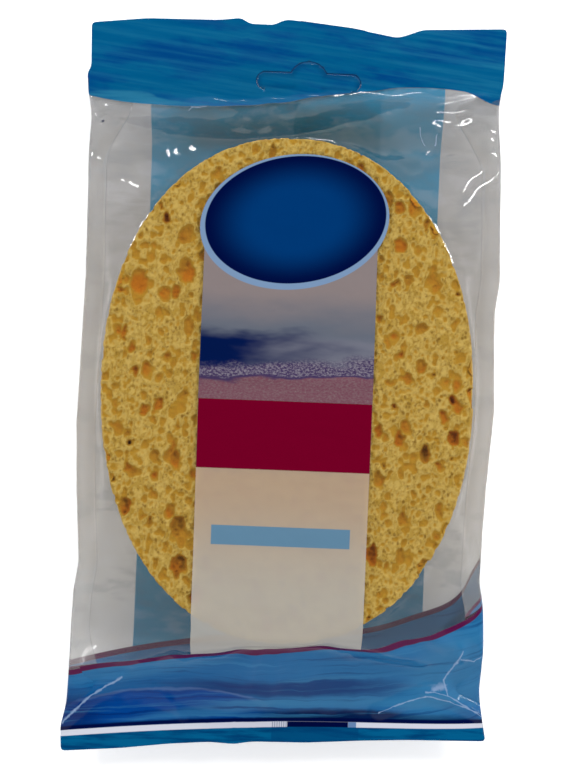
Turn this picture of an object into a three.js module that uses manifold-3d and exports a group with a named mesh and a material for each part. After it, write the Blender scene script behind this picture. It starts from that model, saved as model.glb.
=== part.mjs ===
// An oval cellulose bath sponge sealed in a gusseted film bag, lying on its back.
// Millimetres, +Z up. The bag's header points along +Y and its printed front faces +Z.
// The origin is on the surface that the bag lies on, under the middle of the bag.
import * as THREE from "three";
import { mergeVertices } from "three/addons/utils/BufferGeometryUtils.js";
import Module from "manifold-3d";

const wasm = await Module();
wasm.setup();

// Sponge
const spongeLength = 152;
const spongeWidth = 112;
const spongeThickness = 34;
const spongeMiddleY = -2.5;
const spongeFullness = 2.15; // exponent of the oval: 2 is an ellipse, more is squarer
const spongeEdgeRound = 5;
const spongeOutlineSides = 72;
const spongeEdgeSteps = 4;
const spongeTurn = 1.4; // degrees, how far it lies turned in the bag

// Film bag
const bagLength = 222;
const headerWidth = 128;
const shoulderWidth = 130; // where the gussets start to open below the header
const bodyWidth = 127.5;
const waistWidth = 124; // the sides draw in beside the sponge's lower end
const footWidth = 130;
const headerLength = 22.5;
const footSealLength = 11;
const filmWall = 0.6;
const filmClearance = 0.3; // between the sponge and the film, above and below
const weldedHalfThickness = 0.6; // of the header and of the foot seal, where the films lie together
const sideRound = 10; // how round the bag's long edges are
const cornerSteps = 5;
const slopeSteps = 8;
const bodySteps = 12;
const headerHeight = 16; // of the header's middle plane above the surface
const footHeight = 14;
const endSlack = 3.5; // the film lets go of the sponge this far inside its ends

// Hang slot: a die-cut line in the header, with its flap still in place
const slotWidth = 32;
const slotArmHeight = 5.5;
const slotBumpRadius = 6;
const slotBumpRise = 3.5; // above the arms
const slotMiddleX = 3;
const slotArmBottomY = 90;
const slotCut = 0.5;

// Vent pinhole in the front film, by the left shoulder
const ventRadius = 0.8;
const ventX = -57;
const ventY = 80;

const headY = bagLength / 2;
const footY = -bagLength / 2;
const headerStartY = headY - headerLength;
const footStartY = footY + footSealLength;
const fullFromY = spongeMiddleY - spongeLength / 2 + endSlack;
const fullToY = spongeMiddleY + spongeLength / 2 - endSlack;
const bagHalfHeight = spongeThickness / 2 + filmClearance + filmWall;
const spongeBottom = filmWall + filmClearance;

const cellulose = new THREE.MeshStandardMaterial({ color: 0xdcb45c, roughness: 0.95, metalness: 0 });
const printedFilm = new THREE.MeshStandardMaterial({
  color: 0x9fb6c6,
  roughness: 0.25,
  metalness: 0,
  transparent: true,
  opacity: 0.45,
});

function solidFrom(geometry) {
  const bare = geometry.clone();
  bare.deleteAttribute("normal");
  bare.deleteAttribute("uv");
  const merged = mergeVertices(bare, 1e-4);
  return new wasm.Manifold(
    new wasm.Mesh({
      numProp: 3,
      vertProperties: merged.attributes.position.array,
      triVerts: new Uint32Array(merged.index.array),
    }),
  );
}

function geometryFrom(solid) {
  const mesh = solid.getMesh();
  const geometry = new THREE.BufferGeometry();
  geometry.setAttribute("position", new THREE.BufferAttribute(mesh.vertProperties, 3));
  geometry.setIndex(new THREE.BufferAttribute(mesh.triVerts, 1));
  geometry.computeVertexNormals();
  return geometry;
}

// The oval slab, with its top and bottom edges rounded.
function makeSponge() {
  const outline = [];
  for (let i = 0; i < spongeOutlineSides; i++) {
    const turn = (2 * Math.PI * i) / spongeOutlineSides;
    const across = Math.sign(Math.cos(turn)) * Math.abs(Math.cos(turn)) ** (2 / spongeFullness);
    const along = Math.sign(Math.sin(turn)) * Math.abs(Math.sin(turn)) ** (2 / spongeFullness);
    outline.push(new THREE.Vector2((across * spongeWidth) / 2, (along * spongeLength) / 2));
  }
  const slab = new THREE.ExtrudeGeometry(new THREE.Shape(outline), {
    depth: spongeThickness - 2 * spongeEdgeRound,
    bevelThickness: spongeEdgeRound,
    bevelSize: spongeEdgeRound,
    bevelOffset: -spongeEdgeRound,
    bevelSegments: spongeEdgeSteps,
  });
  const sponge = new THREE.Mesh(slab, cellulose);
  sponge.name = "sponge";
  sponge.position.set(0, spongeMiddleY, spongeBottom + spongeEdgeRound);
  sponge.rotation.z = THREE.MathUtils.degToRad(spongeTurn);
  return sponge;
}

// Half the bag's width at each place along it.
const sideLine = new THREE.SplineCurve([
  new THREE.Vector2(footY, footWidth / 2),
  new THREE.Vector2(footStartY, footWidth / 2),
  new THREE.Vector2(fullFromY + 13, waistWidth / 2),
  new THREE.Vector2(spongeMiddleY - spongeLength / 4, bodyWidth / 2),
  new THREE.Vector2(spongeMiddleY, bodyWidth / 2),
  new THREE.Vector2(fullToY, bodyWidth / 2),
  new THREE.Vector2(headerStartY, shoulderWidth / 2),
]);

function halfWidthAt(y) {
  if (y >= headerStartY) return y > headerStartY ? headerWidth / 2 : shoulderWidth / 2;
  let low = 0;
  let high = 1;
  for (let i = 0; i < 40; i++) {
    const middle = (low + high) / 2;
    if (sideLine.getPoint(middle).x < y) low = middle;
    else high = middle;
  }
  return sideLine.getPoint(low).y;
}

// 1 where the bag stands open around the sponge, 0 where its films lie together.
function opennessAt(y) {
  const towardsHead = THREE.MathUtils.smoothstep(y, fullToY, headerStartY);
  const towardsFoot = THREE.MathUtils.smoothstep(-y, -fullFromY, -footStartY);
  return 1 - Math.max(towardsHead, towardsFoot);
}

// One cross-section: a ring of points round a rectangle with round corners, in the plane of that y.
function sectionAt(y, inset) {
  const open = opennessAt(y);
  const flatHeight = y > 0 ? headerHeight : footHeight;
  const middleZ = THREE.MathUtils.lerp(flatHeight, bagHalfHeight, open);
  const high = THREE.MathUtils.lerp(weldedHalfThickness, bagHalfHeight, open) - inset;
  const wide = halfWidthAt(y) - inset;
  const round = Math.min(high, sideRound - inset);
  const ring = [];
  for (const [sideX, sideZ, from] of [
    [1, 1, 0],
    [-1, 1, Math.PI / 2],
    [-1, -1, Math.PI],
    [1, -1, 1.5 * Math.PI],
  ]) {
    for (let step = 0; step <= cornerSteps; step++) {
      const turn = from + (step / cornerSteps) * (Math.PI / 2);
      ring.push(
        new THREE.Vector3(
          sideX * (wide - round) + round * Math.cos(turn),
          y,
          middleZ + sideZ * (high - round) + round * Math.sin(turn),
        ),
      );
    }
  }
  return ring;
}

// A closed body through rings of equal size, with a flat fan on each end.
function loft(rings) {
  const size = rings[0].length;
  const points = rings.flat();
  const faces = [];
  for (let r = 0; r + 1 < rings.length; r++) {
    for (let i = 0; i < size; i++) {
      const a = r * size + i;
      const b = r * size + ((i + 1) % size);
      faces.push(a, a + size, b, b, a + size, b + size);
    }
  }
  const last = (rings.length - 1) * size;
  for (let i = 1; i + 1 < size; i++) {
    faces.push(0, i, i + 1);
    faces.push(last, last + i + 1, last + i);
  }
  const geometry = new THREE.BufferGeometry().setFromPoints(points);
  geometry.setIndex(faces);
  return geometry;
}

// Places along the bag where it is cut into sections, close together where it slopes.
function stations(from, to) {
  const places = [from];
  const footSlope = fullFromY - footStartY;
  const headSlope = headerStartY - fullToY;
  for (let i = 0; i <= slopeSteps; i++) places.push(footStartY + (footSlope * i) / slopeSteps);
  for (let i = 1; i < bodySteps; i++) places.push(THREE.MathUtils.lerp(fullFromY, fullToY, i / bodySteps));
  for (let i = 0; i <= slopeSteps; i++) places.push(fullToY + (headSlope * i) / slopeSteps);
  if (to > headerStartY) places.push(headerStartY + 0.5);
  places.push(to);
  return places.filter((y, i) => y >= from && y <= to && places.indexOf(y) === i);
}

// The slot's die-cut line runs up round the left end, over the bump and down round the right end.
// Its flap stays joined to the header along the bottom.
function slotCutter() {
  const armTop = slotArmBottomY + slotArmHeight;
  const endRound = slotArmHeight / 2;
  const bumpBaseY = armTop + slotBumpRise - slotBumpRadius;
  const bumpHalf = Math.sqrt(slotBumpRadius ** 2 - (armTop - bumpBaseY) ** 2);
  const edge = (grow) => {
    const path = new THREE.Path();
    const reach = slotWidth / 2 - endRound;
    const middle = slotArmBottomY + endRound;
    const radius = slotBumpRadius + grow;
    const lift = Math.acos(Math.min(1, (armTop + grow - bumpBaseY) / radius));
    path.moveTo(-reach, middle - endRound - grow);
    path.absarc(-reach, middle, endRound + grow, 1.5 * Math.PI, Math.PI / 2, true);
    path.lineTo(-bumpHalf, middle + endRound + grow);
    path.absarc(0, bumpBaseY, radius, Math.PI / 2 + lift, Math.PI / 2 - lift, true);
    path.absarc(reach, middle, endRound + grow, Math.PI / 2, -Math.PI / 2, true);
    return path.getPoints(8);
  };
  const outline = new THREE.Shape([...edge(slotCut / 2), ...edge(-slotCut / 2).reverse()]);
  const cutter = new THREE.ExtrudeGeometry(outline, { depth: 4, bevelEnabled: false });
  cutter.translate(slotMiddleX, 0, headerHeight - 2);
  return solidFrom(cutter);
}

function ventCutter() {
  const pin = new THREE.CylinderGeometry(ventRadius, ventRadius, bagHalfHeight, 8);
  pin.rotateX(Math.PI / 2);
  pin.translate(ventX, ventY, headerHeight + bagHalfHeight / 2);
  return solidFrom(pin);
}

function makeBag() {
  const outside = solidFrom(loft(stations(footY, headY).map((y) => sectionAt(y, 0))));
  const cavityFrom = footStartY + 3;
  const cavityTo = headerStartY - 3;
  const inside = solidFrom(loft(stations(cavityFrom, cavityTo).map((y) => sectionAt(y, filmWall))));
  const film = outside.subtract(inside).subtract(slotCutter()).subtract(ventCutter());
  const bag = new THREE.Mesh(geometryFrom(film), printedFilm);
  bag.name = "film_bag";
  return bag;
}

const part = new THREE.Group();
part.add(makeSponge());
part.add(makeBag());

export default part;
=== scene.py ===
import math

import bmesh
import bpy
import numpy as np
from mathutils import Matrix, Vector


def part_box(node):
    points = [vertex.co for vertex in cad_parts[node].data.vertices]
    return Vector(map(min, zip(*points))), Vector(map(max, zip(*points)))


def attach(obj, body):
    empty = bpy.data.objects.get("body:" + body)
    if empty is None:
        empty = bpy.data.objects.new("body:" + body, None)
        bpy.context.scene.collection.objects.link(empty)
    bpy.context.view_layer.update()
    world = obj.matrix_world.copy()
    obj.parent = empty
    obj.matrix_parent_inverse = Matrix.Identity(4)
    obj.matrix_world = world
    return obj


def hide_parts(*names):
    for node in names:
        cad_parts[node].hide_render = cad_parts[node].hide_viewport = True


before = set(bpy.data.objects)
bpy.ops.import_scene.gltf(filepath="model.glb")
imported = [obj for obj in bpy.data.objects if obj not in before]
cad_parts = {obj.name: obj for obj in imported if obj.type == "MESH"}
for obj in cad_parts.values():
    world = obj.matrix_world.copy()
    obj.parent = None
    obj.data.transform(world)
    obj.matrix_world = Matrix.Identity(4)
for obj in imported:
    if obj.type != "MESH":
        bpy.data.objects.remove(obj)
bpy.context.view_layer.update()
mm = 0.001

spongeLow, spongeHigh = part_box("sponge")
spongeMiddle = (spongeLow + spongeHigh) / 2
spongeSize = spongeHigh - spongeLow


def deselectAll():
    bpy.ops.object.select_all(action="DESELECT")


def makeActive(piece):
    deselectAll()
    piece.select_set(True)
    bpy.context.view_layer.objects.active = piece


def applyModifiers(piece):
    makeActive(piece)
    for modifier in list(piece.modifiers):
        bpy.ops.object.modifier_apply(modifier=modifier.name)


def feed(tree, socket, value):
    if isinstance(value, bpy.types.NodeSocket):
        tree.links.new(value, socket)
    else:
        socket.default_value = value


def node(tree, kind, settings=None, inputs=None):
    made = tree.nodes.new(kind)
    for key, value in (settings or {}).items():
        setattr(made, key, value)
    for key, value in (inputs or {}).items():
        feed(tree, made.inputs[key], value)
    return made


def calc(tree, operation, *values):
    return node(tree, "ShaderNodeMath", {"operation": operation}, dict(enumerate(values))).outputs[0]


def plus(tree, first, second):
    return calc(tree, "ADD", first, second)


def minus(tree, first, second):
    return calc(tree, "SUBTRACT", first, second)


def times(tree, first, second):
    return calc(tree, "MULTIPLY", first, second)


def over(tree, first, second):
    return calc(tree, "DIVIDE", first, second)


def vectorCalc(tree, operation, *values):
    made = node(tree, "ShaderNodeVectorMath", {"operation": operation}, dict(enumerate(values)))
    return made.outputs["Value" if operation in ("DOT_PRODUCT", "LENGTH") else "Vector"]


def ramp(tree, value, fromLow, fromHigh, toLow=0.0, toHigh=1.0):
    # a soft step from one value to another
    made = node(
        tree,
        "ShaderNodeMapRange",
        {"interpolation_type": "SMOOTHSTEP"},
        {"Value": value, "From Min": fromLow, "From Max": fromHigh, "To Min": toLow, "To Max": toHigh},
    )
    return made.outputs["Result"]


def mixColours(tree, share, below, above):
    made = node(tree, "ShaderNodeMix", {"data_type": "RGBA"}, {0: share})
    feed(tree, made.inputs[6], below)
    feed(tree, made.inputs[7], above)
    return made.outputs[2]


def noise(tree, place, scale, detail=3.0, roughness=0.5):
    made = node(
        tree,
        "ShaderNodeTexNoise",
        None,
        {"Vector": place, "Scale": scale, "Detail": detail, "Roughness": roughness},
    )
    return made.outputs["Fac"]


def wobbled(tree, place, scale, reach):
    # places pushed about by a slow noise
    push = node(tree, "ShaderNodeTexNoise", None, {"Vector": place, "Scale": scale, "Detail": 3.0})
    centred = vectorCalc(tree, "SUBTRACT", push.outputs["Color"], (0.5, 0.5, 0.5))
    moved = vectorCalc(tree, "SCALE", centred)
    moved.node.inputs["Scale"].default_value = reach
    return vectorCalc(tree, "ADD", place, moved)


def tone(red, green, blue):
    # an sRGB colour, 0 to 255, as the linear one that shaders take
    linear = [((c / 255 + 0.055) / 1.055) ** 2.4 if c > 10 else c / 255 / 12.92 for c in (red, green, blue)]
    return (*linear, 1.0)


def emptyMaterial(name):
    material = bpy.data.materials.new(name)
    material.use_nodes = True
    material.node_tree.nodes.clear()
    return material, material.node_tree


def matteSurface(tree, inputs, specular):
    shader = node(tree, "ShaderNodeBsdfPrincipled", None, inputs)
    shader.inputs["Specular IOR Level"].default_value = specular
    node(tree, "ShaderNodeOutputMaterial", None, {"Surface": shader.outputs[0]})
    return shader


cameraRig = {"lens": 110, "height": 0.75, "lookAtY": -0.0022, "roll": 2.2}
studio = {
    "sky": 1.35,  # brightness of the white room round the table
    "overhead": 0.03,  # and of the dark patch straight above, which flat film would mirror
    "patchEdge": (0.72, 0.92),  # how upright a direction is where the patch begins and is darkest
    "floor": (0.95, 0.95, 0.95, 1.0),
    "floorGlow": 0.3,  # a light table, so that the pack's shadow stays faint
    "floorSize": 6.0,
    "floorHeight": -0.0002,
    "lightsAim": (0, 0, 0.02),
    "softboxes": {
        "leftSoftbox": {"place": (-0.62, 0.42, 0.75), "size": (0.11, 0.11), "power": 2.0},
        "rightSoftbox": {"place": (0.6, 0.35, 0.75), "size": (0.08, 0.22), "power": 2.8},
        "headSoftbox": {"place": (0.1, 0.85, 0.7), "size": (0.26, 0.07), "power": 2.8},
    },
}


def makeCamera():
    data = bpy.data.cameras.new("camera")
    data.lens = cameraRig["lens"]
    data.sensor_width = 36
    data.clip_start, data.clip_end = 0.01, 20
    camera = bpy.data.objects.new("camera", data)
    camera.location = (0, cameraRig["lookAtY"], cameraRig["height"])
    camera.rotation_euler = (0, 0, math.radians(cameraRig["roll"]))
    bpy.context.scene.collection.objects.link(camera)
    bpy.context.scene.camera = camera


def makeFloor():
    deselectAll()
    bpy.ops.mesh.primitive_plane_add(size=studio["floorSize"], location=(0, 0, studio["floorHeight"]))
    floor = bpy.context.object
    floor.name = "studioFloor"
    material, tree = emptyMaterial("paleFloor")
    shader = matteSurface(tree, {"Base Color": studio["floor"], "Roughness": 0.9}, 0.1)
    shader.inputs["Emission Color"].default_value = (1, 1, 1, 1)
    shader.inputs["Emission Strength"].default_value = studio["floorGlow"]
    floor.data.materials.append(material)


def softbox(name, place, size, power):
    data = bpy.data.lights.new(name, "AREA")
    data.shape = "RECTANGLE"
    data.size, data.size_y = size
    data.energy = power
    light = bpy.data.objects.new(name, data)
    light.location = place
    towards = Vector(studio["lightsAim"]) - Vector(place)
    light.rotation_euler = towards.to_track_quat("-Z", "Y").to_euler()
    bpy.context.scene.collection.objects.link(light)


def makeLight():
    world = bpy.data.worlds.new("studioWorld")
    world.use_nodes = True
    tree = world.node_tree
    background = tree.nodes["Background"]
    background.inputs["Color"].default_value = (1, 1, 1, 1)
    direction = node(tree, "ShaderNodeTexCoord").outputs["Generated"]
    upwards = node(tree, "ShaderNodeSeparateXYZ", None, {0: direction}).outputs[2]
    strength = ramp(tree, upwards, *studio["patchEdge"], studio["sky"], studio["overhead"])
    feed(tree, background.inputs["Strength"], strength)
    bpy.context.scene.world = world
    for name, values in studio["softboxes"].items():
        softbox(name, **values)
    bpy.context.scene.view_settings.view_transform = "Standard"
    bpy.context.scene.cycles.transparent_max_bounces = 24


makeCamera()
makeFloor()
makeLight()
print("camera, floor and lights are up")


spongeForm = {
    "halfWidth": 56,  # millimetres, as are the next two
    "halfLength": 76,
    "meanRadius": 64,
    "fullness": 2.15,  # 2 is an ellipse, more is squarer
    "outlineSides": 120,
    "edgeRound": 5 * mm,
    "edgeSteps": 4,
    "turn": 1.4,  # degrees
    "grain": 0.4 * mm,  # size of the mesh's squares
    "poreStretch": 1.5,  # pores are longer along the sponge
    "poreBend": 3.4 * mm,  # bubbles aren't round: how far their rims are pushed about
    "deepest": 0.42,  # depth of a pore, as a share of its cell
    "deepestAtEdge": 3.4 * mm,  # from the sides, so that pores never meet round a corner
    "rim": 0.35 * mm,
}
# cell size, largest radius as a share of the cell, and the share of cells that stay closed
poreSizes = [
    {"cell": 7.4 * mm, "radius": 0.41, "closed": 0.62, "shift": 3.1},
    {"cell": 3.9 * mm, "radius": 0.46, "closed": 0.36, "shift": 17.7},
    {"cell": 2.4 * mm, "radius": 0.5, "closed": 0.08, "shift": 41.3},
    {"cell": 1.4 * mm, "radius": 0.54, "closed": 0.0, "shift": 63.9},
]


def spongeSlab():
    deselectAll()
    bpy.ops.mesh.primitive_circle_add(
        vertices=spongeForm["outlineSides"], radius=1, fill_type="NGON", location=(0, 0, 0)
    )
    slab = bpy.context.object
    slab.name = "sponge_body"
    power = 2 / spongeForm["fullness"]
    halfWidth, halfLength = spongeForm["halfWidth"] * mm, spongeForm["halfLength"] * mm
    for vertex in slab.data.vertices:
        x, y, _ = vertex.co
        vertex.co.x = math.copysign(abs(x) ** power, x) * halfWidth
        vertex.co.y = math.copysign(abs(y) ** power, y) * halfLength
    bpy.ops.object.mode_set(mode="EDIT")
    bpy.ops.mesh.select_all(action="SELECT")
    bpy.ops.mesh.extrude_region_move(TRANSFORM_OT_translate={"value": (0, 0, spongeSize.z)})
    bpy.ops.mesh.select_all(action="SELECT")
    bpy.ops.mesh.normals_make_consistent(inside=False)
    bpy.ops.mesh.select_all(action="DESELECT")
    mesh = bmesh.from_edit_mesh(slab.data)
    for edge in mesh.edges:
        edge.select = abs(edge.verts[0].co.z - edge.verts[1].co.z) < 1e-6
    bmesh.update_edit_mesh(slab.data)
    bpy.ops.mesh.bevel(
        offset=spongeForm["edgeRound"], segments=spongeForm["edgeSteps"], profile=0.5, affect="EDGES"
    )
    bpy.ops.object.mode_set(mode="OBJECT")
    slab.rotation_euler.z = math.radians(spongeForm["turn"])
    slab.location = (spongeMiddle.x, spongeMiddle.y, spongeLow.z)
    bpy.ops.object.transform_apply(location=True, rotation=True, scale=True)
    return slab


def pore(tree, place, normal, size):
    # how far in the wall of the nearest bubble is, straight below each point of the surface,
    # and how near the point is to the bubble's rim
    stretch = (1.0, 1.0 / spongeForm["poreStretch"], 1.0)
    squeezed = vectorCalc(tree, "MULTIPLY", place, stretch)
    inCells = vectorCalc(tree, "SCALE", squeezed)
    inCells.node.inputs["Scale"].default_value = 1 / size["cell"]
    shifted = vectorCalc(tree, "ADD", inCells, (size["shift"],) * 3)
    bubble = node(tree, "ShaderNodeTexVoronoi", None, {"Vector": shifted, "Scale": 1.0, "Randomness": 1.0})
    chance = node(tree, "ShaderNodeSeparateXYZ", None, {0: bubble.outputs["Color"]}).outputs[0]
    isOpen = calc(tree, "GREATER_THAN", chance, size["closed"])
    chances = {"Value": chance, "From Min": size["closed"], "From Max": 1.0}
    radii = {"To Min": size["radius"] / 2, "To Max": size["radius"]}
    grown = node(tree, "ShaderNodeMapRange", None, {**chances, **radii}).outputs["Result"]
    radius = times(tree, grown, isOpen)
    fromMiddle = vectorCalc(tree, "SUBTRACT", shifted, bubble.outputs["Position"])
    ray = vectorCalc(tree, "MULTIPLY", normal, stretch)
    rayLength = vectorCalc(tree, "DOT_PRODUCT", ray, ray)
    along = vectorCalc(tree, "DOT_PRODUCT", fromMiddle, ray)
    away = vectorCalc(tree, "DOT_PRODUCT", fromMiddle, fromMiddle)
    inside = minus(tree, times(tree, radius, radius), away)
    spread = times(tree, rayLength, calc(tree, "MAXIMUM", inside, 0.0))
    reach = calc(tree, "SQRT", plus(tree, times(tree, along, along), spread))
    depth = over(tree, plus(tree, along, reach), rayLength)
    isInside = calc(tree, "GREATER_THAN", inside, 0.0)
    depth = calc(tree, "MINIMUM", times(tree, depth, isInside), spongeForm["deepest"])
    depth = times(tree, depth, size["cell"])
    outside = times(tree, minus(tree, calc(tree, "SQRT", away), radius), size["cell"])
    rim = times(tree, ramp(tree, outside, spongeForm["rim"], 0.0), isOpen)
    return depth, rim


def stored(tree, geometry, name, value):
    made = node(
        tree,
        "GeometryNodeStoreNamedAttribute",
        {"data_type": "FLOAT", "domain": "POINT"},
        {"Geometry": geometry, "Name": name, "Value": value},
    )
    return made.outputs["Geometry"]


def poreTree():
    tree = bpy.data.node_groups.new("openPores", "GeometryNodeTree")
    tree.interface.new_socket("Geometry", in_out="INPUT", socket_type="NodeSocketGeometry")
    tree.interface.new_socket("Geometry", in_out="OUTPUT", socket_type="NodeSocketGeometry")
    start = tree.nodes.new("NodeGroupInput").outputs[0]
    place = tree.nodes.new("GeometryNodeInputPosition").outputs[0]
    normal = tree.nodes.new("GeometryNodeInputNormal").outputs[0]
    bent = wobbled(tree, place, 300.0, spongeForm["poreBend"])
    deepest, rim = pore(tree, bent, normal, poreSizes[0])
    for size in poreSizes[1:]:
        depth, nextRim = pore(tree, bent, normal, size)
        deepest = calc(tree, "MAXIMUM", deepest, depth)
        rim = calc(tree, "MAXIMUM", rim, nextRim)
    # the walls of the pores are rough with smaller pores
    rough = noise(tree, place, 900.0, 2.0)
    deepest = times(tree, deepest, ramp(tree, rough, 0.3, 0.7, 0.72, 1.1))
    upwards = node(tree, "ShaderNodeSeparateXYZ", None, {0: normal}).outputs[2]
    flat = calc(tree, "GREATER_THAN", calc(tree, "ABSOLUTE", upwards), 0.97)
    limit = ramp(tree, flat, 0.0, 1.0, spongeForm["deepestAtEdge"], poreSizes[0]["cell"])
    deepest = calc(tree, "MINIMUM", deepest, limit)
    softened = node(
        tree, "GeometryNodeBlurAttribute", {"data_type": "FLOAT"}, {"Value": deepest, "Iterations": 1}
    )
    softened.inputs["Weight"].default_value = 0.6
    deepest = softened.outputs["Value"]
    geometry = stored(tree, start, "poreDepth", over(tree, deepest, mm))
    geometry = stored(tree, geometry, "poreRim", rim)
    inwards = vectorCalc(tree, "SCALE", normal)
    feed(tree, inwards.node.inputs["Scale"], times(tree, deepest, -1.0))
    moved = node(tree, "GeometryNodeSetPosition", None, {"Geometry": geometry, "Offset": inwards})
    finished = node(tree, "GeometryNodeSetShadeSmooth", None, {"Geometry": moved.outputs["Geometry"]})
    node(tree, "NodeGroupOutput", None, {0: finished.outputs[0]})
    return tree


# how many bumps or patches of each noise there are to a metre
spongeTexture = {
    "mottle": 140.0,
    "hue": 110.0,
    "patches": 420.0,
    "coarsePits": 900.0,
    "finePits": 1900.0,
    "grain": 2600.0,
}
spongeColours = {
    "face": tone(162, 133, 60),
    "body": tone(154, 121, 41),
    "rim": tone(184, 156, 82),
    # painted shade of the finest pits
    "pitShade": tone(112, 80, 18),
    # painted shade of the pores, shallow and deep
    "shallowPoreShade": tone(158, 119, 32),
    "deep": tone(168, 100, 14),
}


def spongeMaterial():
    material, tree = emptyMaterial("cellulose")
    place = node(tree, "ShaderNodeTexCoord").outputs["Object"]
    depth = node(tree, "ShaderNodeAttribute", {"attribute_name": "poreDepth"}).outputs["Fac"]
    rim = node(tree, "ShaderNodeAttribute", {"attribute_name": "poreRim"}).outputs["Fac"]
    texture = spongeTexture
    mottle = ramp(tree, noise(tree, place, texture["mottle"], 4.0, 0.6), 0.35, 0.65)
    colour = mixColours(tree, mottle, spongeColours["face"], spongeColours["body"])
    # painted shade in pits too fine for the mesh, in patches
    bent = vectorCalc(tree, "MULTIPLY", place, (1.0, 0.75, 1.0))
    coarse = node(tree, "ShaderNodeTexVoronoi", None, {"Vector": bent, "Scale": texture["coarsePits"]})
    coarse = coarse.outputs["Distance"]
    fine = node(tree, "ShaderNodeTexVoronoi", None, {"Vector": bent, "Scale": texture["finePits"]})
    fine = fine.outputs["Distance"]
    patches = ramp(tree, noise(tree, place, texture["patches"], 2.0), 0.35, 0.65, 0.25, 1.0)
    coarsePits = times(tree, ramp(tree, coarse, 0.55, 0.2), patches)
    finePits = ramp(tree, fine, 0.4, 0.15, 0.0, 0.55)
    pits = calc(tree, "MAXIMUM", coarsePits, finePits)
    colour = mixColours(tree, times(tree, pits, 0.9), colour, spongeColours["pitShade"])
    colour = mixColours(tree, times(tree, rim, 0.75), colour, spongeColours["rim"])
    # painted shade: pores darker and more orange the deeper they go, the deepest only in patches
    colour = mixColours(tree, ramp(tree, depth, 0.08, 0.5), colour, spongeColours["shallowPoreShade"])
    hue = ramp(tree, noise(tree, place, texture["hue"], 1.0), 0.38, 0.6, 0.3, 1.0)
    deepPoreShadeShare = times(tree, ramp(tree, depth, 0.5, 1.6), hue)
    colour = mixColours(tree, deepPoreShadeShare, colour, spongeColours["deep"])
    grain = noise(tree, place, texture["grain"], 2.0)
    height = minus(tree, times(tree, grain, 0.5), pits)
    bump = node(
        tree, "ShaderNodeBump", None, {"Strength": 0.7, "Distance": 0.25 * mm, "Height": height}
    ).outputs[0]
    matteSurface(tree, {"Base Color": colour, "Roughness": 0.95, "Normal": bump}, 0.1)
    return material


def makeSponge():
    sponge = spongeSlab()
    remesh = sponge.modifiers.new("evenSquares", "REMESH")
    remesh.mode = "VOXEL"
    remesh.voxel_size = spongeForm["grain"]
    remesh.use_smooth_shade = True
    pores = sponge.modifiers.new("openPores", "NODES")
    pores.node_group = poreTree()
    applyModifiers(sponge)
    sponge.data.materials.clear()
    sponge.data.materials.append(spongeMaterial())
    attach(sponge, "root")
    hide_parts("sponge")
    print("sponge:", len(sponge.data.polygons), "faces")
    return sponge


makeSponge()


far = 200  # millimetres, further than the bag reaches
# Millimetres across and along the bag. A line is a few places that a print's edge passes through.
printForm = {
    "headLine": [
        (-66, 86.5), (-50, 84.2), (-37, 83.8), (-13, 84.8), (8, 88.6),
        (22, 90.6), (38, 92.4), (50, 91.8), (66, 87.5),
    ],
    "headSwell": [(-66, 86.2), (-61, 86.9), (-50, 88.0), (-43, 86.2), (-37, 85.2), (-22, 83.8), (66, 83.8)],
    "backHeadLine": [(-66, 89.0), (-15, 89.0), (30, 94.0), (66, 94.0)],
    "sideHead": 91.0,
    "frontWave": [
        (-66, -91.8), (-45, -87.2), (-26, -84.8), (0, -82.6), (25, -80.7),
        (38, -78.6), (50, -75.0), (58, -70.6), (62, -66.6), (66, -60.0),
    ],
    "backWave": [
        (-66, -90.0), (-46, -85.5), (-28, -82.0), (0, -79.5), (26, -77.2),
        (43, -71.8), (54, -67.0), (60, -57.5), (66, -44.0),
    ],
    "stripTop": [(-66, -109.9), (-34, -107.0), (-1, -104.7), (66, -102.5)],
    "stripBottom": [(-66, -111.7), (-34, -108.7), (-1, -106.4), (66, -103.9)],
    "lineWidth": 1.7,
    "label": (-26.1, 25.2),
    "pictureTop": 41.0,
    "horizon": 13.5,
    "foamTop": 6.0,
    "sandTop": 2.0,
    "titleTop": -5.6,
    "titleBottom": -26.2,
    "stripeAcross": (-21.0, 20.2),
    "stripeAlong": (-48.9, -43.1),
    "badgeMiddle": (0.3, 48.0),
    "badgeHalf": (28.2, 20.0),
    "badgeTurn": 9.0,
    "backPanelHalf": 45.2,
    "vent": (-59.5, 78.3, 0.45),
    "mark": (4.0, 22.8),
    "markLeft": (-0.8, 4.0),
    "markRight": (22.8, 25.3),
    "seam": (-0.8, 26.1),
}
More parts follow.
